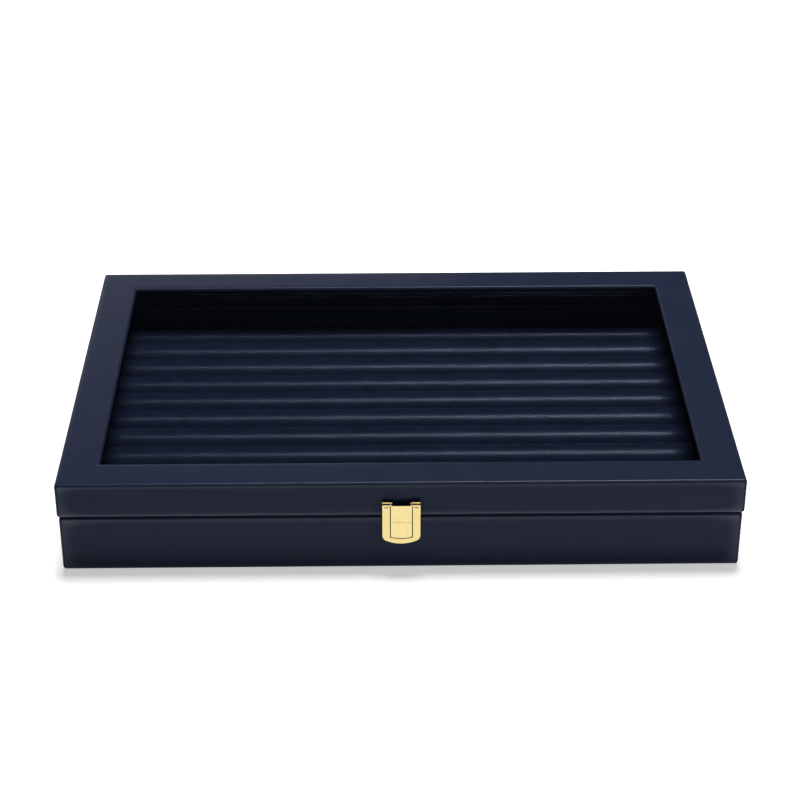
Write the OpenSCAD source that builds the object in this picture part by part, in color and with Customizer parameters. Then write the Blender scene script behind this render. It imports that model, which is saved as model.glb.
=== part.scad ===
// Flat jewelry case with a hinged glazed lid, a front catch and soft ring rolls.
// Millimetres. Origin at the centre of the underside, +X right, +Y back, +Z up.
// The lid swings about the hinge pins, and the catch bail swings about its pivots.

/* [Case] */
// Width of the lid, side to side
case_w = 350; // [250:1:450]
// Depth of the lid, front to back
case_d = 240; // [180:1:320]
// Height of the base up to its rim
base_h = 31.8; // [26:0.1:60]
// Height of the lid above its rim
lid_h = 19.7; // [16:0.1:40]
// Open line between the rim of the base and the rim of the lid
seam_gap = 0.4; // [0.2:0.1:1]
// How far the lid stands out past the base on each side
overhang = 0.8; // [0:0.1:2]
// Rounding of the covered outside edges
edge_r = 1.8; // [0.9:0.1:2.2]

/* [Boards and covering] */
// Thickness of the wall boards
board_t = 7.5; // [6:0.1:12]
// Thickness of the floor board
floor_t = 3; // [2:0.1:6]
// Thickness of the leatherette
skin_t = 0.8; // [0.5:0.1:1.2]
// Thickness of the lining cards
lining_t = 1.5; // [1:0.1:3]
// How far the lining cards stop short of the rim
lining_drop = 2.4; // [0.5:0.1:4]
// Thickness of the felt and of the hem beside it
felt_t = 1; // [0.9:0.1:2]
// Width of the leatherette hem under the base
hem_w = 14; // [8:1:24]
// Height of the hem above the surface the felt stands on
hem_lift = 0.2; // [0.1:0.05:0.3]

/* [Window] */
// Width of the lid's rails around the window
rail_w = 21; // [14:0.5:40]
// Thickness of the board that the window is cut in
frame_t = 1.5; // [1:0.1:4]
// Thickness of the glass
glass_t = 3; // [2:0.1:4]
// Play between the pane and the walls around it
glass_play = 0.4; // [0.2:0.1:1]

/* [Ring rolls] */
// Height of the crest of a roll above its pad
roll_h = 17.4; // [11:0.1:20]
// Radius of the crest of a roll
roll_crest_r = 13; // [10:0.1:18]
// Open line between two rolls
roll_gap = 0.3; // [0.2:0.1:1]
// Space between the end of a roll and the lining
roll_end_gap = 1; // [0.5:0.1:10]
// Rounding of the crest at the ends of a roll
roll_end_r = 4; // [2:0.1:9]
// Thickness of the pad under the rolls
pad_t = 1; // [0.5:0.1:3]

/* [Catch] */
// Width of the bail
bail_w = 19.3; // [16:0.1:30]
// Width of the bracket and the keeper between the legs of the bail
tongue_w = 10.7; // [8:0.1:16]
// Height of the bail's pivot above the seam
pivot_up = 8.4; // [6:0.1:9]
// Drop from the seam to the lowest point of the bail
bail_drop = 14.2; // [12:0.1:20]
// Width of the bail's bridge below the keeper
bridge_w = 2.8; // [2:0.1:4]
// Radius of the bail's round bottom edge
bail_arc_r = 17.5; // [12:0.1:24]
// Radius of the bridge's upper edge, which follows the keeper
bridge_arc_r = 20; // [14:0.1:30]
// Width of the round at the lower corners of the bail
bail_corner = 1; // [0.5:0.1:2]
// Drop from the seam to the line between the bracket and the keeper
catch_split = 1.5; // [1:0.1:3]
// Thickness of the metal sheet
sheet_t = 0.6; // [0.5:0.1:1]
// Outside radius of the curled knuckles
curl_r = 1.6; // [1.4:0.1:2]
// Radius of the pivot pins
pivot_r = 0.7; // [0.5:0.05:0.9]
// Open slot between the tongue and the legs of the bail
catch_slot = 0.5; // [0.3:0.1:1]
// Length of the prongs that hold the catch in the boards
prong_l = 6; // [3:0.1:7]

/* [Hinges] */
// Distance from the side of the lid to the middle of a hinge
hinge_in = 65; // [40:1:90]
// Length of a hinge
hinge_l = 32; // [28:0.1:40]
// Outside radius of the knuckles
knuckle_r = 2.2; // [1.9:0.1:3]
// Radius of the hinge pin
pin_r = 1; // [0.8:0.05:1.2]
// Thickness of the leaves
leaf_t = 1; // [0.8:0.1:1.4]
// How far a leaf reaches in from the back of the lid
leaf_in = 7.3; // [6:0.1:8]
// Angle at which the stops of the leaves meet
open_angle = 100; // [90:1:120]
// Length of the hinge screws
screw_l = 7; // [5:0.1:9]

/* [Hidden] */
$fn = 48;
eps = 0.01;
// Play of a pin that turns in its bore
run_play = 0.06;
// Space beside curved faces that pass each other
pass_gap = 0.35;
// Space between knuckles along a pin
side_gap = 0.2;
// Play of a piece let into a cut in another
let_in = 0.1;

base_w = case_w - 2 * overhang;
base_d = case_d - 2 * overhang;
seam_z = base_h + seam_gap / 2;
lid_z = base_h + seam_gap;
case_h = lid_z + lid_h;

// Outside and inside of the ring of boards
base_core_w = base_w - 2 * skin_t;
base_core_d = base_d - 2 * skin_t;
base_in_w = base_core_w - 2 * board_t;
base_in_d = base_core_d - 2 * board_t;
lid_core_w = case_w - 2 * skin_t;
lid_core_d = case_d - 2 * skin_t;
lid_in_w = lid_core_w - 2 * board_t;
lid_in_d = lid_core_d - 2 * board_t;

floor_z = felt_t + floor_t;
pad_z = floor_z + pad_t;
base_rim_z = base_h - skin_t;
lid_rim_z = lid_z + skin_t;
frame_z = case_h - skin_t - frame_t;
glass_z = frame_z - glass_t;
window_w = case_w - 2 * rail_w;
window_d = case_d - 2 * rail_w;

// Clear space between the lining cards of the base
well_w = base_in_w - 2 * skin_t - 2 * lining_t;
well_d = base_in_d - 2 * skin_t - 2 * lining_t;

roll_count = 11;
roll_pitch = well_d / roll_count;
roll_w = roll_pitch - roll_gap;
roll_l = well_w - 2 * roll_end_gap;

// The bail's front face, its pivot and its arcs
lid_front_y = -case_d / 2;
base_front_y = -base_d / 2;
pivot_y = lid_front_y - curl_r - 0.3;
pivot_z = seam_z + pivot_up;
catch_y = pivot_y - curl_r;
arc_z = seam_z - bail_drop + bail_arc_r;
bridge_z = seam_z - bail_drop + bridge_w + bridge_arc_r;
keeper_arc_r = bridge_arc_r - catch_slot;
bracket_low_z = seam_z - catch_split;
keeper_top_z = bracket_low_z - 0.15;
leg_in = tongue_w / 2 + catch_slot;
knuckle_in = tongue_w / 2 + 0.3;

// The round that takes the lower corners off the bail
corner_x = bail_w / 2 - bail_corner;
corner_low = arc_z - sqrt(bail_arc_r * bail_arc_r - corner_x * corner_x);
corner_high = corner_low + 2 * bail_corner;
corner_mid = (corner_low + corner_high) / 2
    - (corner_x * corner_x - bail_w * bail_w / 4) / (2 * (corner_high - corner_low));
corner_arc_r = sqrt(corner_x * corner_x + (corner_low - corner_mid) * (corner_low - corner_mid));

prong_h = 1.5;
lid_prong_z = seam_z + 4;
keeper_prong_z = seam_z - 7;

// The hinge axis and the parts of a hinge
hinge_span = case_w - 2 * hinge_in;
axis_y = case_d / 2 + knuckle_r + pass_gap;
axis_z = seam_z;
leaf_off = seam_gap / 2;
leaf_edge = knuckle_r + pass_gap;
leaf_reach = axis_y - case_d / 2 + leaf_in;
stop_l = 2.9;
knuckle_l = (hinge_l - 2 * stop_l - 6 * side_gap) / 5;
screw_x = 9;
screw_y = -(leaf_reach + leaf_edge) / 2;
screw_r = 0.9;
head_r = 1.7;
head_h = 0.8;

// Colours of the views
navy = [0.14, 0.16, 0.24];
suede = [0.10, 0.11, 0.16];
tan_board = [0.62, 0.49, 0.34];
card = [0.12, 0.13, 0.19];
gold = [0.83, 0.67, 0.33];
pane = [0.75, 0.85, 0.88, 0.35];

// Shapes used by more than one piece

// A block centred in X and Y between two heights
module block(w, d, low, high) {
    translate([-w / 2, -d / 2, low])
        cube([w, d, high - low]);
}

// A rectangle with round corners, centred
module round_rect(w, d, r) {
    square([w - 2 * r, d], center = true);
    square([w, d - 2 * r], center = true);
    for (sx = [-1, 1], sy = [-1, 1])
        translate([sx * (w / 2 - r), sy * (d / 2 - r)])
            circle(r);
}

// A block with every outside edge rounded
module soft_block(w, d, low, high, r) {
    h = high - low;
    translate([0, 0, (low + high) / 2])
        intersection() {
            linear_extrude(h + 2, center = true)
                round_rect(w, d, r);
            rotate([90, 0, 0])
                linear_extrude(d + 2, center = true)
                    round_rect(w, h, r);
            rotate([90, 0, 90])
                linear_extrude(w + 2, center = true)
                    round_rect(d, h, r);
        }
}

// A round bar along X between two places
module bar_x(r, from, to) {
    translate([from, 0, 0])
        rotate([0, 90, 0])
            cylinder(h = to - from, r = r);
}

// Moves a piece to each hinge place named in the list
module at_hinges(sides) {
    for (s = sides)
        translate([s * hinge_span / 2, axis_y, axis_z])
            children();
}

// Cuts that let the lower leaves and their screws into the base
module base_hinge_cuts() {
    at_hinges([-1, 1]) {
        translate([-hinge_l / 2 - let_in, -leaf_reach - let_in, -leaf_off - leaf_t])
            cube([hinge_l + 2 * let_in, leaf_reach + 2 * let_in, leaf_t + 2]);
        for (s = [-1, 1])
            translate([s * screw_x, screw_y, -leaf_off - screw_l - let_in])
                cylinder(h = screw_l, r = screw_r + run_play);
    }
}

// The same cuts in the lid
module lid_hinge_cuts() {
    translate([0, 0, 2 * axis_z])
        mirror([0, 0, 1])
            base_hinge_cuts();
}

// Slots in the front of the lid or the base for a pair of prongs
module prong_slots(front_y, z) {
    w = sheet_t + 2 * let_in;
    h = prong_h + 2 * let_in;
    for (s = [-1, 1])
        translate([s * (tongue_w - sheet_t) / 2 - w / 2, front_y - 1, z - h / 2])
            cube([w, prong_l + 1 + let_in, h]);
}

// Base

// Front or back board of a ring of boards, and the left or right board between them
module long_board(core_w, core_d, side, low, high) {
    translate([-core_w / 2, side > 0 ? core_d / 2 - board_t : -core_d / 2, low])
        cube([core_w, board_t, high - low]);
}

module short_board(core_w, core_d, side, low, high) {
    translate([side > 0 ? core_w / 2 - board_t : -core_w / 2, -core_d / 2 + board_t, low])
        cube([board_t, core_d - 2 * board_t, high - low]);
}

module base_front_wall() {
    color(tan_board)
        difference() {
            long_board(base_core_w, base_core_d, -1, felt_t, base_rim_z);
            prong_slots(base_front_y, keeper_prong_z);
        }
}

module base_back_wall() {
    color(tan_board)
        difference() {
            long_board(base_core_w, base_core_d, 1, felt_t, base_rim_z);
            base_hinge_cuts();
        }
}

module base_left_wall() {
    color(tan_board)
        short_board(base_core_w, base_core_d, -1, felt_t, base_rim_z);
}

module base_right_wall() {
    color(tan_board)
        short_board(base_core_w, base_core_d, 1, felt_t, base_rim_z);
}

module base_floor() {
    color(tan_board)
        block(base_in_w, base_in_d, felt_t, floor_z);
}

// One wrapped skin: outside, rim, inside down to the floor, and the hem below
module base_cover() {
    color(navy)
        difference() {
            soft_block(base_w, base_d, hem_lift, base_h, edge_r);
            difference() {
                block(base_core_w, base_core_d, felt_t, base_rim_z);
                block(base_in_w, base_in_d, floor_z, base_h);
            }
            block(base_in_w - 2 * skin_t, base_in_d - 2 * skin_t, floor_z - eps, base_h + 1);
            block(base_w - 2 * hem_w, base_d - 2 * hem_w, -1, felt_t + eps);
            base_hinge_cuts();
            prong_slots(base_front_y, keeper_prong_z);
        }
}

module base_felt() {
    color(suede)
        block(base_w - 2 * hem_w - 1, base_d - 2 * hem_w - 1, 0, felt_t);
}

module floor_pad() {
    color(suede)
        block(well_w - 0.4, well_d - 0.4, floor_z, pad_z);
}

// Lining cards inside a ring of boards, long ones at front and back
module long_lining(in_w, in_d, side, low, high) {
    w = in_w - 2 * skin_t;
    d = in_d - 2 * skin_t;
    translate([-w / 2, side > 0 ? d / 2 - lining_t : -d / 2, low])
        cube([w, lining_t, high - low]);
}

module short_lining(in_w, in_d, side, low, high) {
    w = in_w - 2 * skin_t;
    d = in_d - 2 * skin_t - 2 * lining_t;
    translate([side > 0 ? w / 2 - lining_t : -w / 2, -d / 2, low])
        cube([lining_t, d, high - low]);
}

module base_front_lining() {
    color(card)
        long_lining(base_in_w, base_in_d, -1, floor_z, base_h - lining_drop);
}

module base_back_lining() {
    color(card)
        long_lining(base_in_w, base_in_d, 1, floor_z, base_h - lining_drop);
}

module base_left_lining() {
    color(card)
        short_lining(base_in_w, base_in_d, -1, floor_z, base_h - lining_drop);
}

module base_right_lining() {
    color(card)
        short_lining(base_in_w, base_in_d, 1, floor_z, base_h - lining_drop);
}

// A soft roll: round crest along X, rounded down at both ends
module ring_roll(number) {
    crest_r = max(roll_crest_r, roll_w / 2);
    color(suede)
        translate([0, (number - (roll_count + 1) / 2) * roll_pitch, pad_z])
            intersection() {
                rotate([90, 0, 90])
                    linear_extrude(roll_l + 2, center = true)
                        intersection() {
                            translate([-roll_w / 2, 0])
                                square([roll_w, roll_h]);
                            union() {
                                translate([0, roll_h - crest_r])
                                    circle(crest_r, $fn = 96);
                                translate([-roll_w, -roll_h])
                                    square([2 * roll_w, 2 * roll_h - crest_r]);
                            }
                        }
                rotate([90, 0, 0])
                    linear_extrude(roll_w + 2, center = true)
                        difference() {
                            translate([0, roll_h / 2 - roll_end_r])
                                round_rect(roll_l, roll_h + 2 * roll_end_r, roll_end_r);
                            translate([-roll_l, -4 * roll_end_r])
                                square([2 * roll_l, 4 * roll_end_r]);
                        }
            }
}

module ring_roll_01() { ring_roll(1); }
module ring_roll_02() { ring_roll(2); }
module ring_roll_03() { ring_roll(3); }
module ring_roll_04() { ring_roll(4); }
module ring_roll_05() { ring_roll(5); }
module ring_roll_06() { ring_roll(6); }
module ring_roll_07() { ring_roll(7); }
module ring_roll_08() { ring_roll(8); }
module ring_roll_09() { ring_roll(9); }
module ring_roll_10() { ring_roll(10); }
module ring_roll_11() { ring_roll(11); }

// Lid

module lid_frame() {
    color(tan_board)
        difference() {
            block(lid_core_w, lid_core_d, frame_z, frame_z + frame_t);
            block(window_w + 2 * skin_t, window_d + 2 * skin_t, frame_z - 1, case_h);
        }
}

module lid_front_wall() {
    color(tan_board)
        difference() {
            long_board(lid_core_w, lid_core_d, -1, lid_rim_z, frame_z);
            prong_slots(lid_front_y, lid_prong_z);
        }
}

module lid_back_wall() {
    color(tan_board)
        difference() {
            long_board(lid_core_w, lid_core_d, 1, lid_rim_z, frame_z);
            lid_hinge_cuts();
        }
}

module lid_left_wall() {
    color(tan_board)
        short_board(lid_core_w, lid_core_d, -1, lid_rim_z, frame_z);
}

module lid_right_wall() {
    color(tan_board)
        short_board(lid_core_w, lid_core_d, 1, lid_rim_z, frame_z);
}

// One wrapped skin: top, window edge, outside, rim and inside up to the glass
module lid_cover() {
    color(navy)
        difference() {
            soft_block(case_w, case_d, lid_z, case_h, edge_r);
            block(window_w, window_d, frame_z - 1, case_h + 1);
            difference() {
                block(lid_core_w, lid_core_d, lid_rim_z, frame_z + frame_t);
                block(window_w + 2 * skin_t, window_d + 2 * skin_t, frame_z, case_h);
                block(lid_in_w, lid_in_d, lid_z, frame_z);
            }
            block(lid_in_w, lid_in_d, glass_z, frame_z);
            block(lid_in_w - 2 * skin_t, lid_in_d - 2 * skin_t, lid_z - 1, glass_z + eps);
            lid_hinge_cuts();
            prong_slots(lid_front_y, lid_prong_z);
        }
}

module glass_pane() {
    color(pane)
        block(lid_in_w - 2 * glass_play, lid_in_d - 2 * glass_play, glass_z, frame_z);
}

module lid_front_lining() {
    color(card)
        long_lining(lid_in_w, lid_in_d, -1, lid_z + lining_drop, glass_z);
}

module lid_back_lining() {
    color(card)
        long_lining(lid_in_w, lid_in_d, 1, lid_z + lining_drop, glass_z);
}

module lid_left_lining() {
    color(card)
        short_lining(lid_in_w, lid_in_d, -1, lid_z + lining_drop, glass_z);
}

module lid_right_lining() {
    color(card)
        short_lining(lid_in_w, lid_in_d, 1, lid_z + lining_drop, glass_z);
}

// Hinges, drawn about the pin with the base leaf below it

// Middle of knuckle k of five along the pin
function knuckle_x(k) = (k - 2) * (knuckle_l + side_gap);

// The flat of a leaf, with its neck out to the stops and its own knuckles
module leaf_flat(own) {
    low = -leaf_off - leaf_t;
    translate([-hinge_l / 2, -leaf_reach, low])
        cube([hinge_l, leaf_reach - leaf_edge, leaf_t]);
    for (k = own)
        translate([knuckle_x(k) - knuckle_l / 2, -leaf_edge - eps, low])
            cube([knuckle_l, leaf_edge, leaf_t]);
    for (s = [-1, 1])
        translate([s * (hinge_l - stop_l) / 2 - stop_l / 2, -leaf_edge - eps, low])
            cube([stop_l, leaf_edge - pin_r, leaf_t]);
}

// A half-round stop past the knuckles, cut off at half the opening angle
module leaf_stop(side) {
    x = side * (hinge_l - stop_l) / 2;
    difference() {
        bar_x(knuckle_r, x - stop_l / 2, x + stop_l / 2);
        translate([-hinge_l, -2 * knuckle_r, -leaf_off])
            cube([2 * hinge_l, 4 * knuckle_r, 2 * knuckle_r]);
        rotate([-open_angle / 2 - 0.3, 0, 0])
            translate([-hinge_l, -2 * knuckle_r, 0])
                cube([2 * hinge_l, 4 * knuckle_r, 2 * knuckle_r]);
    }
}

module hinge_leaf(own) {
    difference() {
        union() {
            leaf_flat(own);
            for (k = own)
                bar_x(knuckle_r, knuckle_x(k) - knuckle_l / 2, knuckle_x(k) + knuckle_l / 2);
            for (s = [-1, 1])
                leaf_stop(s);
        }
        bar_x(pin_r + run_play, -hinge_l / 2 + stop_l + eps, hinge_l / 2 - stop_l - eps);
        for (s = [-1, 1])
            bar_x(pin_r + pass_gap, s * (hinge_l - stop_l) / 2 - stop_l / 2 - eps,
                s * (hinge_l - stop_l) / 2 + stop_l / 2 + eps);
        for (s = [-1, 1])
            translate([s * screw_x, screw_y, -leaf_off - leaf_t - eps]) {
                cylinder(h = leaf_t + 1, r = screw_r + run_play);
                translate([0, 0, leaf_t - head_h + eps])
                    cylinder(h = head_h + eps, r1 = screw_r + run_play, r2 = head_r + run_play);
            }
    }
}

module base_leaf() {
    hinge_leaf([0, 2, 4]);
}

module lid_leaf() {
    mirror([0, 0, 1])
        hinge_leaf([1, 3]);
}

module hinge_pin() {
    bar_x(pin_r, -hinge_l / 2 + 0.1, hinge_l / 2 - 0.1);
}

// A countersunk screw pointing down, with its head in the top of a leaf
module hinge_screw() {
    difference() {
        union() {
            translate([0, 0, -screw_l])
                cylinder(h = screw_l, r = screw_r);
            translate([0, 0, -head_h])
                cylinder(h = head_h, r1 = screw_r, r2 = head_r);
        }
        translate([-head_r, -0.2, -0.35])
            cube([2 * head_r, 0.4, 1]);
    }
}

module screw_pair() {
    for (s = [-1, 1])
        translate([s * screw_x, screw_y, -leaf_off])
            hinge_screw();
}

module left_hinge_base_leaf() {
    color(gold)
        at_hinges([-1])
            base_leaf();
}

module right_hinge_base_leaf() {
    color(gold)
        at_hinges([1])
            base_leaf();
}

module left_hinge_lid_leaf() {
    color(gold)
        at_hinges([-1])
            lid_leaf();
}

module right_hinge_lid_leaf() {
    color(gold)
        at_hinges([1])
            lid_leaf();
}

module left_hinge_pin() {
    color(gold)
        at_hinges([-1])
            hinge_pin();
}

module right_hinge_pin() {
    color(gold)
        at_hinges([1])
            hinge_pin();
}

module base_hinge_screws() {
    color(gold)
        at_hinges([-1, 1])
            screw_pair();
}

module lid_hinge_screws() {
    color(gold)
        at_hinges([-1, 1])
            mirror([0, 0, 1])
                screw_pair();
}

// Catch, drawn as a front view and given depth towards the case

// Gives a front view depth from one Y to a larger one
module from_front(y_front, y_back) {
    translate([0, y_back, 0])
        rotate([90, 0, 0])
            linear_extrude(y_back - y_front)
                children();
}

module prong_pair(front_y, z) {
    for (s = [-1, 1])
        translate([s * (tongue_w - sheet_t) / 2 - sheet_t / 2, front_y - eps, z - prong_h / 2])
            cube([sheet_t, prong_l + eps, prong_h]);
}

// Folded bracket on the lid: front plate, two sides that carry the pivots, two prongs
module catch_bracket() {
    side_low = lid_z + edge_r + 0.2;
    color(gold)
        difference() {
            union() {
                translate([-tongue_w / 2, catch_y, bracket_low_z])
                    cube([tongue_w, sheet_t, pivot_z - bracket_low_z]);
                for (s = [-1, 1])
                    translate([s * (tongue_w - sheet_t) / 2 - sheet_t / 2, 0, 0]) {
                        translate([0, catch_y, side_low])
                            cube([sheet_t, lid_front_y - catch_y, pivot_z - side_low]);
                        translate([0, pivot_y, pivot_z])
                            bar_x(curl_r - 0.1, 0, sheet_t);
                    }
                prong_pair(lid_front_y, lid_prong_z);
            }
            translate([0, pivot_y, pivot_z])
                bar_x(pivot_r + 0.01, -tongue_w, tongue_w);
        }
}

module catch_pivots() {
    color(gold)
        for (s = [-1, 1])
            translate([0, pivot_y, pivot_z])
                bar_x(pivot_r, s > 0 ? tongue_w / 2 - sheet_t - 0.1 : -bail_w / 2,
                    s > 0 ? bail_w / 2 : -tongue_w / 2 + sheet_t + 0.1);
}

// Folded keeper on the base: front plate with a round lower edge, two sides, two prongs
module catch_keeper() {
    color(gold) {
        from_front(catch_y, catch_y + sheet_t)
            intersection() {
                translate([-tongue_w / 2, arc_z - bail_arc_r])
                    square([tongue_w, keeper_top_z - arc_z + bail_arc_r]);
                translate([0, bridge_z])
                    circle(keeper_arc_r, $fn = 96);
            }
        for (s = [-1, 1])
            translate([s * (tongue_w - sheet_t) / 2 - sheet_t / 2, catch_y, bridge_z - keeper_arc_r + 2])
                cube([sheet_t, base_front_y - catch_y, keeper_top_z - bridge_z + keeper_arc_r - 2]);
        prong_pair(base_front_y, keeper_prong_z);
    }
}

// Swinging bail: two legs, a round bridge under the keeper and a curled knuckle on each leg
module catch_bail() {
    color(gold)
        difference() {
            union() {
                from_front(catch_y, catch_y + sheet_t)
                    difference() {
                        intersection() {
                            translate([-bail_w / 2, arc_z - bail_arc_r])
                                square([bail_w, pivot_z - arc_z + bail_arc_r]);
                            union() {
                                translate([0, arc_z])
                                    circle(bail_arc_r, $fn = 96);
                                translate([-bail_w / 2, arc_z])
                                    square([bail_w, pivot_z]);
                            }
                            union() {
                                translate([0, corner_mid])
                                    circle(corner_arc_r, $fn = 96);
                                translate([-bail_w, corner_mid])
                                    square([2 * bail_w, pivot_z]);
                            }
                        }
                        intersection() {
                            translate([-leg_in, arc_z - bail_arc_r])
                                square([2 * leg_in, 2 * bail_arc_r]);
                            union() {
                                translate([0, bridge_z])
                                    circle(bridge_arc_r, $fn = 96);
                                translate([-leg_in, bridge_z])
                                    square([2 * leg_in, pivot_z]);
                            }
                        }
                    }
                for (s = [-1, 1])
                    translate([0, pivot_y, pivot_z])
                        bar_x(curl_r, s > 0 ? knuckle_in : -bail_w / 2, s > 0 ? bail_w / 2 : -knuckle_in);
            }
            translate([0, pivot_y, pivot_z])
                bar_x(pivot_r + run_play, -bail_w, bail_w);
            for (s = [-1, 1])
                translate([s * (knuckle_in + bail_w / 2) / 2 - 1.1, catch_y - 1, pivot_z - 1.2])
                    cube([2.2, 1.4, 0.6]);
        }
}

base_front_wall();
base_back_wall();
base_left_wall();
base_right_wall();
base_floor();
base_cover();
base_felt();
floor_pad();
base_front_lining();
base_back_lining();
base_left_lining();
base_right_lining();
ring_roll_01();
ring_roll_02();
ring_roll_03();
ring_roll_04();
ring_roll_05();
ring_roll_06();
ring_roll_07();
ring_roll_08();
ring_roll_09();
ring_roll_10();
ring_roll_11();
lid_frame();
lid_front_wall();
lid_back_wall();
lid_left_wall();
lid_right_wall();
lid_cover();
glass_pane();
lid_front_lining();
lid_back_lining();
lid_left_lining();
lid_right_lining();
left_hinge_base_leaf();
left_hinge_lid_leaf();
left_hinge_pin();
right_hinge_base_leaf();
right_hinge_lid_leaf();
right_hinge_pin();
base_hinge_screws();
lid_hinge_screws();
catch_bracket();
catch_pivots();
catch_keeper();
catch_bail();
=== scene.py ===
"""Looks of a flat jewelry case with a glazed lid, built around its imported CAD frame."""
import math

import bmesh
import bpy
from bpy.props import FloatProperty, FloatVectorProperty, IntProperty, PointerProperty
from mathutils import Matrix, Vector, noise


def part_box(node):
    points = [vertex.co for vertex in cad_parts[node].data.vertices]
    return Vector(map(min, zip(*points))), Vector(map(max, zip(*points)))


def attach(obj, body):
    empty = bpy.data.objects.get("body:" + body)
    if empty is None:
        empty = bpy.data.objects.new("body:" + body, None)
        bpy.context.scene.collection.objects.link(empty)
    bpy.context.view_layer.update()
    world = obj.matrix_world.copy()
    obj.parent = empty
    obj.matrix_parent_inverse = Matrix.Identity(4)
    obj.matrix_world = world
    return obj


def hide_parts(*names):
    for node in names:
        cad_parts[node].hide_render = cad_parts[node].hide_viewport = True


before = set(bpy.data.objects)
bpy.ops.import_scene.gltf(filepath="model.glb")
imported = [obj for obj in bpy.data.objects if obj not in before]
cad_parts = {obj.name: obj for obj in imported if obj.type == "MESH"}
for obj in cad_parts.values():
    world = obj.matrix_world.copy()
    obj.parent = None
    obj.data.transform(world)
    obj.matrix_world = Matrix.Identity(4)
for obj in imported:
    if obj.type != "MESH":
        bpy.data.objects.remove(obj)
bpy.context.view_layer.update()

bl_info = {
    "name": "Glazed Jewelry Case",
    "version": (1, 0, 0),
    "blender": (4, 5, 0),
    "location": "3D View > Sidebar > Jewelry Case",
    "description": "Dresses the CAD frame of a leatherette jewelry case",
    "category": "Object",
}

MM = 0.001
BOARDS = [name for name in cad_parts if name.endswith("_wall")] + ["base_floor", "lid_frame"]
LININGS = [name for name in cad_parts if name.endswith("_lining")]
ROLLS = sorted(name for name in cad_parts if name.startswith("ring_roll_"))
HINGES = [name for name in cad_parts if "hinge" in name]
CATCH = ["catch_bracket", "catch_pivots", "catch_keeper", "catch_bail"]

# Sizes of the covers: board inside them, rail round the window, hem below, upright corners, inner folds
BOARD = 7.5 * MM
RAIL = 21 * MM
HEM = 14 * MM
CORNER = 1.8 * MM
FOLD = 0.4 * MM

# Fineness of the meshes: steps of a round edge, steps along the covers' sides, angle that stays sharp
ROUND_STEPS = 6
LONG_SIDE_STEPS = 46
SHORT_SIDE_STEPS = 32
SHARP_DEGREES = 40

# The row of strips over the case, from left to right: shares of their power, and places in metres
STRIP_SHARES = (0.3, 0.57, 0.9, 1.4, 1.2)
FIRST_STRIP = -0.3
STRIP_WIDTH = 0.2


# Values that a user would change


class CoverLooks(bpy.types.PropertyGroup):
    """The leatherette of the lid and the base."""
    colour: FloatVectorProperty(
        name="Leatherette", description="Colour of the leatherette", subtype="COLOR",
        size=3, min=0.0, max=1.0, default=(0.0135, 0.0180, 0.0367))
    worn_colour: FloatVectorProperty(
        name="Worn leatherette", description="Colour where the grain is rubbed", subtype="COLOR",
        size=3, min=0.0, max=1.0, default=(0.0157, 0.0203, 0.0402))
    roughness: FloatProperty(
        name="Roughness", description="Mean roughness of the leatherette", default=0.26, min=0.0, max=1.0,
        subtype="FACTOR")
    grain: FloatProperty(
        name="Grain", description="Distance between pebbles of the grain", default=0.7 * MM,
        min=0.1 * MM, max=5 * MM, unit="LENGTH", precision=5)
    thickness: FloatProperty(
        name="Thickness", description="Thickness of the leatherette", default=0.8 * MM,
        min=0.2 * MM, max=2 * MM, unit="LENGTH", precision=5)
    edge: FloatProperty(
        name="Edge", description="Rounding of the covered edges", default=1.8 * MM,
        min=0.5 * MM, max=4 * MM, unit="LENGTH", precision=5)
    window_edge: FloatProperty(
        name="Window edge", description="Rounding of the edge of the window", default=1.6 * MM,
        min=0.2 * MM, max=3 * MM, unit="LENGTH", precision=5)
    wave: FloatProperty(
        name="Wave", description="Unevenness of the covered boards", default=0.03 * MM,
        min=0.0, max=0.5 * MM, unit="LENGTH", precision=6)


class RollLooks(bpy.types.PropertyGroup):
    """The soft ring rolls."""
    colour: FloatVectorProperty(
        name="Microfibre", description="Colour of the rolls", subtype="COLOR",
        size=3, min=0.0, max=1.0, default=(0.0070, 0.0104, 0.0245))
    roughness: FloatProperty(
        name="Roughness", description="Mean roughness of the microfibre", default=0.29, min=0.0, max=1.0,
        subtype="FACTOR")
    wave: FloatProperty(
        name="Wave", description="How far a soft roll wanders from a straight bar", default=0.015 * MM,
        min=0.0, max=2 * MM, unit="LENGTH", precision=5)
    crest: FloatProperty(
        name="Crest", description="Radius of the crest of a roll", default=13 * MM,
        min=10 * MM, max=18 * MM, unit="LENGTH", precision=4)
    steps: IntProperty(
        name="Steps", description="Steps along a roll", default=120, min=20, max=400)


class MetalLooks(bpy.types.PropertyGroup):
    """The gold catch and hinges."""
    colour: FloatVectorProperty(
        name="Gold", description="Colour of the plating", subtype="COLOR",
        size=3, min=0.0, max=1.0, default=(0.73, 0.594, 0.273))
    roughness: FloatProperty(
        name="Roughness", description="Mean roughness of the plating", default=0.11, min=0.0, max=1.0,
        subtype="FACTOR")
    edge: FloatProperty(
        name="Edge", description="Rounding of the stamped edges", default=0.16 * MM,
        min=0.0, max=0.5 * MM, unit="LENGTH", precision=6)


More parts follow.
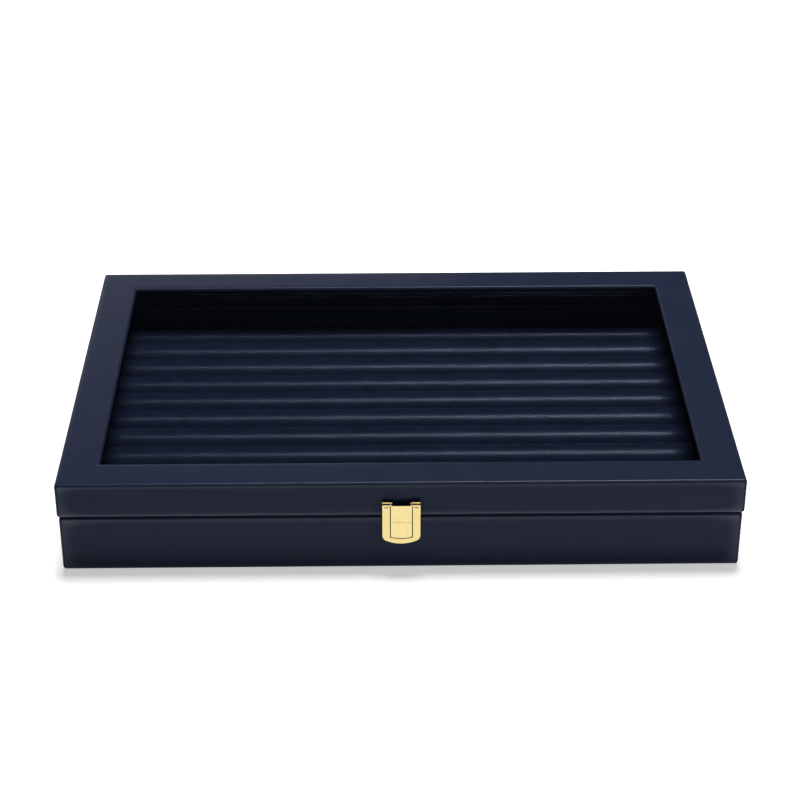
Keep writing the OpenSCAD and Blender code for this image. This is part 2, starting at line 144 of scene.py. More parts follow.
class StageLooks(bpy.types.PropertyGroup):
    """Floor, lights and camera."""
    floor_colour: FloatVectorProperty(
        name="Floor", description="Colour of the floor", subtype="COLOR",
        size=3, min=0.0, max=1.0, default=(0.82, 0.82, 0.83))
    strip_power: FloatProperty(
        name="Highlight strips", description="Power of a full strip of the row that makes the highlights",
        default=1.5, min=0.0, unit="POWER")
    card_power: FloatProperty(
        name="Back card", description="Power of the low card behind the case on the left",
        default=1.25, min=0.0, unit="POWER")
    front_power: FloatProperty(
        name="Front card", description="Power of the low card in front of the case on the right",
        default=1.2, min=0.0, unit="POWER")
    catch_power: FloatProperty(
        name="Catch card", description="Power of the card over the catch",
        default=1.8, min=0.0, unit="POWER")
    fill_power: FloatProperty(
        name="Overhead bank", description="Power of the soft bank over the case",
        default=66.0, min=0.0, unit="POWER")
    lens: FloatProperty(
        name="Lens", description="Focal length on a 36 mm sensor, in millimetres", default=94.457, min=10.0)


class CaseLooks(bpy.types.PropertyGroup):
    """All the looks of the case."""
    cover: PointerProperty(type=CoverLooks)
    roll: PointerProperty(type=RollLooks)
    metal: PointerProperty(type=MetalLooks)
    stage: PointerProperty(type=StageLooks)


def looks():
    """The values as they are set now."""
    return bpy.context.scene.case_looks


# Shader nodes


def new_material(name, colour):
    """A material with a Principled shader and object coordinates in metres."""
    material = bpy.data.materials.new(name)
    material.use_nodes = True
    material.diffuse_color = (*colour, 1.0)
    nodes = material.node_tree.nodes
    shader = nodes["Principled BSDF"]
    place = nodes.new("ShaderNodeTexCoord").outputs["Object"]
    return material, shader, place


def add_node(owner, kind, inputs=(), **settings):
    """A node of a material or of the world, with its settings, its constant inputs and its links."""
    node = owner.node_tree.nodes.new(kind)
    for key, value in settings.items():
        setattr(node, key, value)
    for key, value in dict(inputs).items():
        if isinstance(value, bpy.types.NodeSocket):
            link(owner, value, node.inputs[key])
        else:
            node.inputs[key].default_value = value
    return node


def link(owner, source, target):
    """Joins an output to an input."""
    owner.node_tree.links.new(source, target)


def noise_at(material, place, size, detail=2.0, roughness=0.5):
    """Smooth noise whose lumps are about size metres across."""
    node = add_node(material, "ShaderNodeTexNoise",
                    {"Vector": place, "Scale": 1.0 / size, "Detail": detail, "Roughness": roughness})
    return node.outputs["Fac"]


def ramp(owner, value, low, high, from_low=0.0, from_high=1.0):
    """A value carried from one range to another."""
    node = add_node(owner, "ShaderNodeMapRange",
                    {"Value": value, "From Min": from_low, "From Max": from_high,
                     "To Min": low, "To Max": high})
    return node.outputs["Result"]


def combine(material, operation, first, second=0.0, clamp=False):
    """One operation of the Math node on one or two values."""
    node = add_node(material, "ShaderNodeMath", {0: first, 1: second}, operation=operation, use_clamp=clamp)
    return node.outputs[0]


def patches(material, place, size, detail, low, high):
    """Noise stretched so that it goes from 0 to 1 between two of its own values."""
    return ramp(material, noise_at(material, place, size, detail), 0.0, 1.0, low, high)


def blend_colours(material, factor, first, second):
    """A colour between two colours."""
    node = add_node(material, "ShaderNodeMix",
                    {"Factor": factor, "A": (*first, 1.0), "B": (*second, 1.0)}, data_type="RGBA")
    return node.outputs["Result"]


def uneven_roughness(material, shader, place, size, detail, low, high):
    """Roughness that wanders between two values, in patches about size metres across."""
    patchy = ramp(material, noise_at(material, place, size, detail), low, high)
    link(material, patchy, shader.inputs["Roughness"])


def add_bump(material, shader, height, depth, strength, below=None):
    """Bump of a given depth in metres, over an earlier bump if there is one."""
    inputs = {"Height": height, "Distance": depth, "Strength": strength}
    if below is not None:
        inputs["Normal"] = below
    node = add_node(material, "ShaderNodeBump", inputs)
    link(material, node.outputs["Normal"], shader.inputs["Normal"])
    return node.outputs["Normal"]


def use_surface(material, surface):
    """Makes a shader the surface of a material."""
    link(material, surface, material.node_tree.nodes["Material Output"].inputs["Surface"])


# Finishes


def leatherette():
    """Fine pebbled navy leatherette, a little paler where it is rubbed."""
    values = looks().cover
    material, shader, place = new_material("navy_leatherette", values.colour)
    wear_and_shade = patches(material, place, size=24 * MM, detail=3.0, low=0.3, high=0.7)
    colour = blend_colours(material, wear_and_shade, values.colour, values.worn_colour)
    link(material, colour, shader.inputs["Base Color"])
    spread = 0.02
    uneven_roughness(material, shader, place, size=18 * MM, detail=2.0,
                     low=values.roughness - spread, high=values.roughness + spread)
    link(material, edge_gloss(material), shader.inputs["Specular IOR Level"])
    shader.inputs["Specular Tint"].default_value = (0.76, 0.86, 1.0, 1.0)
    pebbles = add_node(material, "ShaderNodeTexVoronoi",
                       {"Vector": place, "Scale": 1.0 / values.grain, "Randomness": 1.0},
                       feature="SMOOTH_F1")
    pebbled = add_bump(material, shader, pebbles.outputs["Distance"], depth=0.03 * MM, strength=0.25)
    unevenness = noise_at(material, place, size=3 * MM, detail=3.0)
    add_bump(material, shader, unevenness, depth=0.04 * MM, strength=0.25, below=pebbled)
    return material


def edge_gloss(material):
    """Gloss that is low on flat leatherette and rises on its edges, but not on those that face sideways."""
    shape = add_node(material, "ShaderNodeNewGeometry").outputs
    facing = add_node(material, "ShaderNodeSeparateXYZ", {"Vector": shape["Normal"]}).outputs
    sideways = combine(material, "ABSOLUTE", facing["X"])
    on_edge = ramp(material, sideways, low=0.95, high=0.0, from_low=0.05, from_high=0.30)
    return ramp(material, shape["Pointiness"], low=0.11, high=on_edge, from_low=0.505, from_high=0.535)


def microfibre(name, colour, roughness, nap):
    """Short-napped cloth: fine fibre noise with a soft sheen."""
    material, shader, place = new_material(name, colour)
    lift, fall = 1.25, 0.82
    lighter = [min(1.0, part * lift) for part in colour]
    darker = [part * fall for part in colour]
    brushed = patches(material, place, size=9 * MM, detail=4.0, low=0.3, high=0.7)
    link(material, blend_colours(material, brushed, darker, lighter), shader.inputs["Base Color"])
    spread = 0.015
    uneven_roughness(material, shader, place, size=16 * MM, detail=2.0,
                     low=roughness - spread, high=roughness + spread)
    shader.inputs["Specular IOR Level"].default_value = 0.36
    shader.inputs["Specular Tint"].default_value = (0.55, 0.66, 0.95, 1.0)
    shader.inputs["Sheen Weight"].default_value = nap
    shader.inputs["Sheen Roughness"].default_value = 0.35
    shader.inputs["Sheen Tint"].default_value = (0.75, 0.80, 1.0, 1.0)
    fibres = noise_at(material, place, size=0.6 * MM, detail=2.0)
    add_bump(material, shader, fibres, depth=0.003 * MM, strength=0.05)
    return material


def gold_plate(name, depth):
    """Polished gold plating with fine rubbing marks and duller patches, deeper where depth is below 1."""
    values = looks().metal
    deepening = (0.8, 1.1, 2.0)
    dulling = (0.98, 0.95, 0.90)
    colour = [part * depth ** power for part, power in zip(values.colour, deepening)]
    duller = [part * share for part, share in zip(colour, dulling)]
    material, shader, place = new_material(name, colour)
    dull = patches(material, place, size=4 * MM, detail=3.0, low=0.35, high=0.65)
    link(material, blend_colours(material, dull, colour, duller), shader.inputs["Base Color"])
    shader.inputs["Metallic"].default_value = 1.0
    smoother, rougher = 0.05, 0.07
    uneven_roughness(material, shader, place, size=1.5 * MM, detail=4.0,
                     low=values.roughness - smoother, high=values.roughness + rougher)
    along_case = add_node(material, "ShaderNodeMapping", {"Vector": place, "Scale": (1.0, 6.0, 6.0)})
    marks = noise_at(material, along_case.outputs["Vector"], size=1.0 * MM, detail=3.0)
    add_bump(material, shader, marks, depth=0.004 * MM, strength=0.2)
    return material


def clear_glass():
    """Clear float glass with the faintest haze, which lets light straight through to the tray."""
    material, shader, place = new_material("clear_glass", (0.9, 0.95, 0.95))
    shader.inputs["Base Color"].default_value = (0.97, 0.985, 0.98, 1.0)
    shader.inputs["Transmission Weight"].default_value = 1.0
    shader.inputs["IOR"].default_value = 1.5
    uneven_roughness(material, shader, place, size=40 * MM, detail=3.0, low=0.0, high=0.012)
    seen = add_node(material, "ShaderNodeLightPath").outputs
    lighting = combine(material, "MAXIMUM", seen["Is Shadow Ray"], seen["Is Diffuse Ray"])
    past_one_face = 1.5
    under_glass = combine(material, "GREATER_THAN", seen["Transmission Depth"], past_one_face)
    mirrored = combine(material, "SUBTRACT", seen["Is Glossy Ray"], seen["Is Transmission Ray"], clamp=True)
    from_tray = combine(material, "MULTIPLY", under_glass, mirrored)
    straight = combine(material, "MAXIMUM", lighting, from_tray)
    through = add_node(material, "ShaderNodeBsdfTransparent", {"Color": (0.94, 0.95, 0.95, 1.0)})
    both = add_node(material, "ShaderNodeMixShader",
                    {0: straight, 1: shader.outputs["BSDF"], 2: through.outputs["BSDF"]})
    use_surface(material, both.outputs["Shader"])
    return material


def fibreboard(name, dark, pale):
    """Fibreboard speckled with darker and paler fibres."""
    material, shader, place = new_material(name, pale)
    specks = noise_at(material, place, size=0.8 * MM, detail=5.0, roughness=0.7)
    tone = ramp(material, specks, 0.0, 1.0, from_low=0.35, from_high=0.65)
    link(material, blend_colours(material, tone, dark, pale), shader.inputs["Base Color"])
    link(material, ramp(material, specks, low=0.75, high=0.95), shader.inputs["Roughness"])
    add_bump(material, shader, specks, depth=0.05 * MM, strength=0.4)
    return material


def put_on(obj, material):
    """Gives a piece one finish all over."""
    obj.data.materials.clear()
    obj.data.materials.append(material)


# Meshes


def add_mesh(name, points, faces, smooth=True):
    """A new object made of points and faces."""
    mesh = bpy.data.meshes.new(name)
    mesh.from_pydata([tuple(point) for point in points], [], faces)
    mesh.validate()
    if smooth:
        mesh.polygons.foreach_set("use_smooth", [True] * len(mesh.polygons))
    mesh.update()
    obj = bpy.data.objects.new(name, mesh)
    bpy.context.scene.collection.objects.link(obj)
    return obj


def arc(centre, radius, start, end, steps=ROUND_STEPS):
    """Points of an arc, with its angles in degrees."""
    angles = [math.radians(start + (end - start) * step / steps) for step in range(steps + 1)]
    return [(centre[0] + radius * math.cos(angle), centre[1] + radius * math.sin(angle)) for angle in angles]


def between(start, end, steps):
    """Evenly spaced values between two others, which are left out."""
    return [start + (end - start) * step / steps for step in range(1, steps)]


def rounded_loop(half_w, half_d, radius):
    """Points round a rectangle with round corners, evenly spread along each side."""
    x, y = half_w - radius, half_d - radius
    corners = [((x, y), 0), ((-x, y), 90), ((-x, -y), 180), ((x, -y), 270)]
    bends = [arc(centre, radius, start, start + 90) for centre, start in corners]
    loop = []
    for number, bend in enumerate(bends):
        steps = (LONG_SIDE_STEPS, SHORT_SIDE_STEPS)[number % 2]
        here, there = bend[-1], bends[(number + 1) % len(bends)][0]
        loop += bend
        loop += zip(between(here[0], there[0], steps), between(here[1], there[1], steps))
    return loop


def turned_in(skin):
    """Depth of a covered board, from the outside of its cover to the inside."""
    return skin + BOARD + skin


def swept_skin(name, half_w, half_d, profile, wave, seed):
    """A closed profile of (inset, height) points swept round a rectangle with soft corners."""
    inner_corner = 0.6 * MM
    swell = 38 * MM
    points = []
    for inset, height in profile:
        radius = max(CORNER - inset, inner_corner)
        points += [(x, y, height) for x, y in rounded_loop(half_w - inset, half_d - inset, radius)]
    rings = len(profile)
    count = len(points) // rings
    faces = []
    for ring in range(rings):
        low, high = ring * count, (ring + 1) % rings * count
        for place in range(count):
            beside = (place + 1) % count
            faces.append((low + place, low + beside, high + beside, high + place))
    obj = add_mesh(name, points, faces)
    mend_normals(obj)
    ripple(obj, wave, swell, seed)
    return obj


def mend_normals(obj):
    """Turns every face outwards."""
    edit = bmesh.new()
    edit.from_mesh(obj.data)
    bmesh.ops.recalc_face_normals(edit, faces=edit.faces)
    edit.to_mesh(obj.data)
    edit.free()


def ripple(obj, depth, size, seed):
    """Moves points a little along their normals by smooth noise."""
    shift = Vector((seed, seed * 0.37, seed * 0.71))
    for vertex in obj.data.vertices:
        where = Vector(vertex.co) / size + shift
        vertex.co += vertex.normal * (noise.noise(where) * depth)
    obj.data.update()


def cut_out(obj, boxes):
    """Cuts boxes, each given by two corners, out of a closed mesh."""
    sides = ((0, 1, 3, 2), (4, 6, 7, 5), (0, 4, 5, 1), (2, 3, 7, 6), (0, 2, 6, 4), (1, 5, 7, 3))
    points, faces = [], []
    for low, high in boxes:
        first = len(points)
        across, along, up = zip(low, high)
        points += [(x, y, z) for x in across for y in along for z in up]
        faces += [tuple(first + corner for corner in side) for side in sides]
    cutter = add_mesh(obj.name + "_cutter", points, faces, smooth=False)
    mend_normals(cutter)
    bpy.context.view_layer.update()
    cut = obj.modifiers.new("mortise", "BOOLEAN")
    cut.operation = "DIFFERENCE"
    cut.solver = "EXACT"
    cut.object = cutter
    shaped = bpy.data.meshes.new_from_object(obj.evaluated_get(bpy.context.evaluated_depsgraph_get()))
    obj.modifiers.clear()
    obj.data = shaped
    bpy.data.objects.remove(cutter)


def leaf_mortises(leaf_nodes, rim, inward):
    """Boxes round the hinge leaves, open at the rim, with inward 1 for upwards and -1 for downwards."""
    play = 0.1 * MM
    leaf = 1.0 * MM
    past_rim = 2 * MM
    bottom, top = sorted((rim + leaf * inward, rim - past_rim * inward))
    boxes = []
    for node in leaf_nodes:
        low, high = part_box(node)
        boxes.append(((low[0] - play, low[1] - play, bottom), (high[0] + play, high[1] + play, top)))
    return boxes


def shade_by_angle(obj, degrees):
    """Smooth shading that keeps edges sharper than an angle."""
    obj.data.polygons.foreach_set("use_smooth", [True] * len(obj.data.polygons))
    edit = bmesh.new()
    edit.from_mesh(obj.data)
    for edge in edit.edges:
        edge.smooth = edge.calc_face_angle(0.0) < math.radians(degrees)
    edit.to_mesh(obj.data)
    edit.free()


def keep_piece(obj, body, slot, material, *nodes):
    """Rides a new piece on its body, gives it its finish and hides the CAD nodes it stands for."""
    put_on(obj, material)
    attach(obj, body)
    if nodes:
        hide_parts(*nodes)


# Pieces


class CASE_OT_lid_cover(bpy.types.Operator):
    """Wrap the lid: top rails, window edge, sides, rim and the turn-in below the glass"""
    bl_idname = "case.lid_cover"
    bl_label = "Lid Cover"

    def execute(self, context):
        values = looks().cover
        low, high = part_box("lid_cover")
        pane_low, pane_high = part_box("glass_pane")
        turn_in = turned_in(values.thickness)
        profile = self.profile(values, turn_in, low[2], high[2], pane_low[2], pane_high[2])
        cover = swept_skin("lid_wrap", high[0], high[1], profile, values.wave, seed=3.1)
        leaves = ["left_hinge_lid_leaf", "right_hinge_lid_leaf"]
        cut_out(cover, leaf_mortises(leaves, low[2], inward=1))
        shade_by_angle(cover, SHARP_DEGREES)
        keep_piece(cover, "lid", "leatherette", leatherette(), "lid_cover")
        return {"FINISHED"}

    def profile(self, values, turn_in, rim, top, pane_foot, pane_top):
        """Section of the cover: down from the glass, round rim, side, rail and lip, and back within."""
        skin, edge, lip = values.thickness, values.edge, values.window_edge
        seat = pane_top + 0.02 * MM
        lip_fall, lip_run = 0.3 * MM, 0.6 * MM
        points = [(turn_in, pane_foot)]
        points += [(turn_in, height) for height in between(pane_foot - edge / 2, rim + edge * 1.5, 3)]
        points += arc((turn_in - edge, rim + edge), edge, 0, -90)
        points += [(turn_in / 2, rim)]
        points += arc((edge, rim + edge), edge, -90, -180)
        points += [(0, height) for height in between(rim, top, 5)]
        points += arc((edge, top - edge), edge, 180, 90)
        points += [(inset, top) for inset in between(edge, RAIL - lip, 7)]
        points += arc((RAIL - lip, top - lip), lip, 90, 0)
        points += [(RAIL, seat), (RAIL - skin, seat)]
        points += [(RAIL - skin, top - skin - lip_fall), (RAIL - skin - lip_run, top - skin)]
        points += [(skin + FOLD, top - skin), (skin, top - skin - FOLD)]
        points += [(skin, rim + skin + FOLD), (skin + FOLD, rim + skin)]
        points += [(turn_in - skin - FOLD, rim + skin), (turn_in - skin, rim + skin + FOLD)]
        points += [(turn_in - skin, pane_foot)]
        return points


class CASE_OT_base_cover(bpy.types.Operator):
    """Wrap the base: sides, rim, the turn-in down to the floor and the hem below"""
    bl_idname = "case.base_cover"
    bl_label = "Base Cover"

    def execute(self, context):
        values = looks().cover
        low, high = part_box("base_cover")
        floor_low, floor_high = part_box("base_floor")
        turn_in = turned_in(values.thickness)
        profile = self.profile(values, turn_in, low[2], high[2], floor_low[2], floor_high[2])
        cover = swept_skin("base_wrap", high[0], high[1], profile, values.wave, seed=8.6)
        leaves = ["left_hinge_base_leaf", "right_hinge_base_leaf"]
        cut_out(cover, leaf_mortises(leaves, high[2], inward=-1))
        shade_by_angle(cover, SHARP_DEGREES)
        material = bpy.data.materials["navy_leatherette"]
        keep_piece(cover, "base", "leatherette", material, "base_cover")
        return {"FINISHED"}

    def profile(self, values, turn_in, foot, rim, floor_foot, floor_top):
        """Section of the cover: up from the floor inside, round the rim, side and hem, and back within."""
        skin, edge = values.thickness, values.edge
        points = [(turn_in, floor_top)]
        points += [(turn_in, height) for height in between(floor_top, rim - edge, 4)]
        points += arc((turn_in - edge, rim - edge), edge, 0, 90)
        points += [(turn_in / 2, rim)]
        points += arc((edge, rim - edge), edge, 90, 180)
        points += [(0, height) for height in between(rim, foot, 6)]
        points += arc((edge, foot + edge), edge, 180, 270)
        points += [(HEM / 2, foot), (HEM, foot), (HEM, floor_foot)]
        points += [(skin + FOLD, floor_foot), (skin, floor_foot + FOLD)]
        points += [(skin, rim - skin - FOLD), (skin + FOLD, rim - skin)]
        points += [(turn_in - skin - FOLD, rim - skin), (turn_in - skin, rim - skin - FOLD)]
        points += [(turn_in - skin, floor_top)]
        return points


class CASE_OT_ring_rolls(bpy.types.Operator):
    """Make the soft ring rolls, each a crowned bar with rounded ends"""
    bl_idname = "case.ring_rolls"
    bl_label = "Ring Rolls"

    def execute(self, context):
        values = looks().roll
        material = microfibre("roll_microfibre", values.colour, values.roughness, nap=0.0)
        for number, node in enumerate(ROLLS):
            roll = self.make_roll(node.replace("ring_", "soft_"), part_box(node), values, number)
            keep_piece(roll, "base", "microfibre", material, node)
        return {"FINISHED"}

    def make_roll(self, name, box, values, number):
        """One roll, with its steps closer together towards its rounded ends."""
        low, high = box
        middle = (high[1] + low[1]) / 2
        height = high[2] - low[2]
        outline = self.section((high[1] - low[1]) / 2, height, values.crest)
        end = 4 * MM
        bunching = 0.45
        narrowing = 0.25
        width_share = 0.985
        points = []
        for step in range(values.steps + 1):
            share = step / values.steps
            bunched = 0.5 - 0.5 * math.cos(math.pi * share)
            x = low[0] + (high[0] - low[0]) * ((1 - bunching) * share + bunching * bunched)
            near = min(x - low[0], high[0] - x)
            drop = end - math.sqrt(max(0.0, end * end - max(0.0, end - near) ** 2))
            squeeze = width_share * (1 - narrowing * drop / end)
            sag, sway = self.wander(x, number, values.wave)
            for y, z in outline:
                lift = z / height
                points.append((x, middle + y * squeeze + sway * lift,
                               low[2] + max(0.0, z - (drop + sag) * lift)))
        roll = add_mesh(name, points, self.skin(len(outline), values.steps))
        mend_normals(roll)
        shade_by_angle(roll, degrees=55)
        return roll

    def wander(self, x, number, wave):
        """How far the crest of a roll sinks and strays sideways at a place along it."""
        sink_lumps, sink_row, sink_layer = 14, 3.7, 0.5
        stray_lumps, stray_row, stray_layer = 11, 5.3, 4.5
        stray_share = 0.6
        sink = noise.noise(Vector((x * sink_lumps, number * sink_row, sink_layer)))
        stray = noise.noise(Vector((x * stray_lumps, number * stray_row, stray_layer)))
        return (0.5 + 0.5 * sink) * wave, stray * wave * stray_share

    def section(self, half, height, crest):
        """Outline of a roll: shallow round crest, soft shoulders, sides drawn in, flat foot."""
        shoulder = 0.4 * MM
        waist = 0.5 * MM
        crest_steps = 28
        side_steps = 5
        turn = math.degrees(math.asin((half - shoulder) / crest))
        outline = arc((0, height - crest), crest, 90 - turn, 90 + turn, crest_steps)
        side_top = outline[-1][1] - waist
        left = []
        for step in range(side_steps + 1):
            share = step / side_steps
            left.append((-half + waist * math.sin(math.pi * share), side_top * (1 - share)))
        right = [(-y, z) for y, z in reversed(left)]
        return outline + left + right

    def skin(self, ring, steps):
        """Faces along a roll and across its two ends."""
        faces = []
        for step in range(steps):
            here, ahead = step * ring, (step + 1) * ring
            for place in range(ring):
                beside = (place + 1) % ring
                faces.append((here + place, here + beside, ahead + beside, ahead + place))
        faces.append(tuple(range(ring)))
        faces.append(tuple(steps * ring + place for place in reversed(range(ring))))
        return faces


class CASE_OT_linings(bpy.types.Operator):
    """Cover the lining cards, the pad under the rolls and the felt below the base"""
    bl_idname = "case.linings"
    bl_label = "Linings"

    def execute(self, context):
        lift = 1.1
        lining_colour = [part * lift for part in looks().roll.colour]
        felt_colour = (0.010, 0.011, 0.016)
        lining = microfibre("lining_microfibre", lining_colour, roughness=0.45, nap=0.15)
        felt = microfibre("pressed_felt", felt_colour, roughness=0.85, nap=0.3)
        for node in LININGS + ["floor_pad", "base_felt"]:
            material = felt if node == "base_felt" else lining
            slot = {"floor_pad": "microfibre", "base_felt": "felt"}.get(node, "lining")
            body = "lid" if node.startswith("lid_") else "base"
            low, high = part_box(node)
            piece = self.soft_card(node + "_cloth", Vector(low), Vector(high))
            keep_piece(piece, body, slot, material, node)
        return {"FINISHED"}

    def soft_card(self, name, low, high):
        """A card with its cloth turned over its edges."""
        size = high - low
        edit = bmesh.new()
        bmesh.ops.create_cube(edit, size=1.0)
        for vertex in edit.verts:
            vertex.co = Vector([low[axis] + size[axis] * (vertex.co[axis] + 0.5) for axis in range(3)])
        turn_share = 0.3
        bmesh.ops.bevel(edit, geom=edit.edges[:], offset=min(size) * turn_share, segments=3, profile=0.5,
                        affect="EDGES")
        mesh = bpy.data.meshes.new(name)
        edit.to_mesh(mesh)
        edit.free()
        card = bpy.data.objects.new(name, mesh)
        bpy.context.scene.collection.objects.link(card)
        shade_by_angle(card, degrees=50)
        return card


class CASE_OT_boards(bpy.types.Operator):
    """Finish the hidden boards: raw in the base, and near black in the lid as painted shade where they show
    beside the window
    """
    bl_idname = "case.boards"
    bl_label = "Boards"

    def execute(self, context):
        raw = fibreboard("raw_board", dark=(0.26, 0.17, 0.095), pale=(0.40, 0.29, 0.18))
        # Painted shade: the lid boards are made near black, so that the strip of board seen beside the
        # window reads as dark as the shade there.
        shade_dark = fibreboard("stained_board", dark=(0.004, 0.005, 0.009), pale=(0.007, 0.008, 0.014))
        for node in BOARDS:
            put_on(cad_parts[node], shade_dark if node.startswith("lid_") else raw)
        return {"FINISHED"}


class CASE_OT_glass(bpy.types.Operator):
    """Glaze the lid"""
    bl_idname = "case.glass"
    bl_label = "Glass"

    def execute(self, context):
        put_on(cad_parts["glass_pane"], clear_glass())
        return {"FINISHED"}


class CASE_OT_metal(bpy.types.Operator):
    """Plate the catch and the hinges, and ease their stamped edges"""
    bl_idname = "case.metal"
    bl_label = "Catch and Hinges"

    def execute(self, context):
        bright = gold_plate("gold_plate", depth=1.0)
        # Painted shade: the bail gets a slightly deeper, darker copy of the gold than the rest of the catch.
        wear_and_shade = gold_plate("rubbed_gold_plate", depth=0.97)
        for node in CATCH + HINGES:
            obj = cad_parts[node]
            put_on(obj, wear_and_shade if node == "catch_bail" else bright)
            ease = obj.modifiers.new("eased_edge", "BEVEL")
            ease.width = looks().metal.edge
            ease.segments = 2
            ease.limit_method = "ANGLE"
            ease.angle_limit = math.radians(SHARP_DEGREES)
        return {"FINISHED"}


class CASE_OT_stage(bpy.types.Operator):
    """Set the floor, the soft lights, the dim room and the camera"""
    bl_idname = "case.stage"
    bl_label = "Stage"

    def execute(self, context):
        values = looks().stage
        self.floor(values)
        self.lamps(values)
        self.room()
        self.camera(values)
        context.scene.view_settings.view_transform = "Standard"
        return {"FINISHED"}

    def floor(self, values):
        """A wide white floor that glows for the camera, brighter far off, and still takes shadows."""
        reach = 12.0
        level = -0.1 * MM
        turns = ((-1, -1), (1, -1), (1, 1), (-1, 1))
        corners = [(reach * x, reach * y, level) for x, y in turns]
        floor = add_mesh("floor", corners, [(0, 1, 2, 3)], smooth=False)
        material, shader, place = new_material("white_floor", values.floor_colour)
        tone = noise_at(material, place, size=0.4, detail=2.0)
        lift = 1.02
        paler = [min(1.0, part * lift) for part in values.floor_colour]
        colour = blend_colours(material, tone, values.floor_colour, paler)
        link(material, colour, shader.inputs["Base Color"])
        shader.inputs["Roughness"].default_value = 0.9
        shader.inputs["Specular IOR Level"].default_value = 0.1
        seen = add_node(material, "ShaderNodeLightPath").outputs
        direct = combine(material, "MAXIMUM", seen["Is Camera Ray"], seen["Is Transmission Ray"])
        distance = add_node(material, "ShaderNodeVectorMath", {0: place}, operation="LENGTH")
        far = ramp(material, distance.outputs["Value"], low=0.50, high=1.0, from_low=0.9, from_high=2.6)
        shown = ramp(material, direct, low=0.0, high=far)
        mirrored = ramp(material, seen["Is Glossy Ray"], low=0.0, high=0.25)
        strength = combine(material, "MAXIMUM", shown, mirrored)
        glow = add_node(material, "ShaderNodeEmission", {"Color": (1, 1, 1, 1), "Strength": strength})
        both = add_node(material, "ShaderNodeAddShader",
                        {0: shader.outputs["BSDF"], 1: glow.outputs["Emission"]})
        use_surface(material, both.outputs["Shader"])
        put_on(floor, material)

    def lamps(self, values):
        """Strips for the highlights, a soft bank overhead, and cards behind, in front and over the catch."""
        for number, share in enumerate(STRIP_SHARES):
            x = FIRST_STRIP + STRIP_WIDTH * number
            self.lamp("highlight_strip", values.strip_power * share, place=(x, 0.40, 1.50),
                      target=(x, 0.1, 0), size=(STRIP_WIDTH, 0.22))
        bank = self.lamp("overhead_bank", values.fill_power, place=(0.02, 0.42, 2.4),
                         target=(0.02, 0.42, 0), size=(0.7, 0.76))
        self.keep_unseen(bank)
        back = self.lamp("back_card", values.card_power, place=(-0.50, 1.5, 0.56),
                         target=(0, 0, 0.05), size=(1.2, 0.34))
        self.light_only(back, ("lid_wrap", "base_wrap"))
        front = self.lamp("front_card", values.front_power, place=(0.75, -0.75, 0.16),
                          target=(0.1, -0.12, 0.03), size=(0.5, 0.3))
        self.keep_unseen(front)
        over_catch = self.lamp("catch_card", values.catch_power, place=(0, -0.16, 0.9),
                               target=(0, -0.16, 0), size=(0.8, 0.5))
        self.light_only(over_catch, CATCH)

    def lamp(self, name, power, place, target, size):
        """A rectangular soft light that faces a target."""
        light = bpy.data.lights.new(name, "AREA")
        light.shape = "RECTANGLE"
        light.size, light.size_y = size
        light.energy = power
        obj = bpy.data.objects.new(name, light)
        obj.location = place
        obj.rotation_euler = (Vector(target) - Vector(place)).to_track_quat("-Z", "Y").to_euler()
        bpy.context.scene.collection.objects.link(obj)
        return obj

    def keep_unseen(self, lamp):
        """Keeps a lamp out of reflections and out of the view through the glass."""
        lamp.visible_glossy = False
        lamp.visible_transmission = False

    def light_only(self, lamp, names):
        """Keeps the light of a lamp to some of the pieces."""
        lit = bpy.data.collections.new(lamp.name + "_lit")
        for name in names:
            lit.objects.link(bpy.data.objects[name])
        lamp.light_linking.receiver_collection = lit

    def room(self):
        """A dim room, paler in front of the case than behind it."""
        world = bpy.context.scene.world or bpy.data.worlds.new("room")
        bpy.context.scene.world = world
        world.use_nodes = True
        backing = world.node_tree.nodes["Background"]
        backing.inputs["Color"].default_value = (0.8, 0.9, 1.25, 1.0)
        toward = add_node(world, "ShaderNodeTexCoord").outputs["Generated"]
        depth = add_node(world, "ShaderNodeSeparateXYZ", {"Vector": toward}).outputs["Y"]
        strength = ramp(world, depth, low=0.075, high=0.008, from_low=-0.5, from_high=0.2)
        link(world, strength, backing.inputs["Strength"])

    def camera(self, values):
        """The camera that was fitted to the outline of the case, with its angles in degrees."""
        place = (-12.837 * MM, -1016.674 * MM, 613.053 * MM)
        tilt, lean, turn = 90 - 29.768, 0.009, -0.784
        lens = bpy.data.cameras.new("photo_camera")
        lens.lens = values.lens
        lens.sensor_width = 36.0
        obj = bpy.data.objects.new("photo_camera", lens)
        obj.location = place
        obj.rotation_euler = [math.radians(angle) for angle in (tilt, lean, turn)]
        bpy.context.scene.collection.objects.link(obj)
        bpy.context.scene.camera = obj


# Add-on


class CASE_PT_sidebar(bpy.types.Panel):
    """Lists the pieces of the case and their looks"""
    bl_label = "Jewelry Case"
    bl_idname = "CASE_PT_sidebar"
    bl_space_type = "VIEW_3D"
    bl_region_type = "UI"
    bl_category = "Jewelry Case"

    def draw(self, context):
        for operator in OPERATORS:
            self.layout.operator(operator.bl_idname)
        for group in (looks().cover, looks().roll, looks().metal, looks().stage):
            box = self.layout.box()
            for name in group.bl_rna.properties.keys():
                if name not in ("rna_type", "name"):
                    box.prop(group, name)


GROUPS = (CoverLooks, RollLooks, MetalLooks, StageLooks, CaseLooks)
OPERATORS = (CASE_OT_lid_cover, CASE_OT_base_cover, CASE_OT_ring_rolls, CASE_OT_linings, CASE_OT_boards,
             CASE_OT_glass, CASE_OT_metal, CASE_OT_stage)
CLASSES = GROUPS + OPERATORS + (CASE_PT_sidebar,)


def register():
    """Registers the classes and hangs the looks on the scene."""
    for cls in CLASSES:
        bpy.utils.register_class(cls)
    bpy.types.Scene.case_looks = PointerProperty(type=CaseLooks)


def unregister():
    """Undoes what register does."""
    del bpy.types.Scene.case_looks
    for cls in reversed(CLASSES):
        bpy.utils.unregister_class(cls)


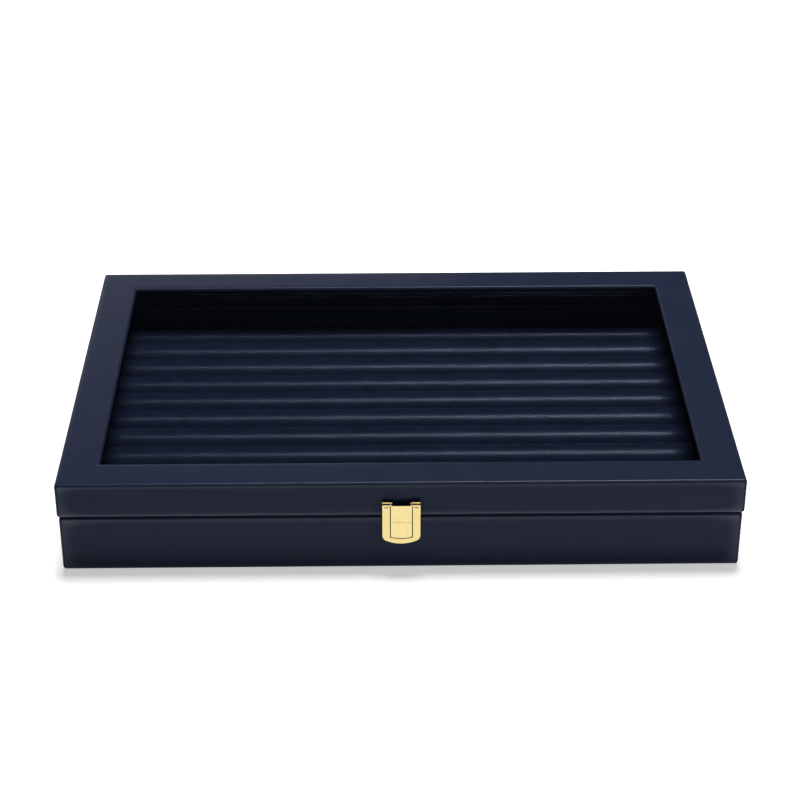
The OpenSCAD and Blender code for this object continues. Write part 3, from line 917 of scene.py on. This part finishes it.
def main():
    """Dresses the case piece by piece."""
    register()
    bpy.ops.case.lid_cover()
    bpy.ops.case.base_cover()
    bpy.ops.case.ring_rolls()
    bpy.ops.case.linings()
    bpy.ops.case.boards()
    bpy.ops.case.glass()
    bpy.ops.case.metal()
    bpy.ops.case.stage()


if __name__ == "__main__":
    main()
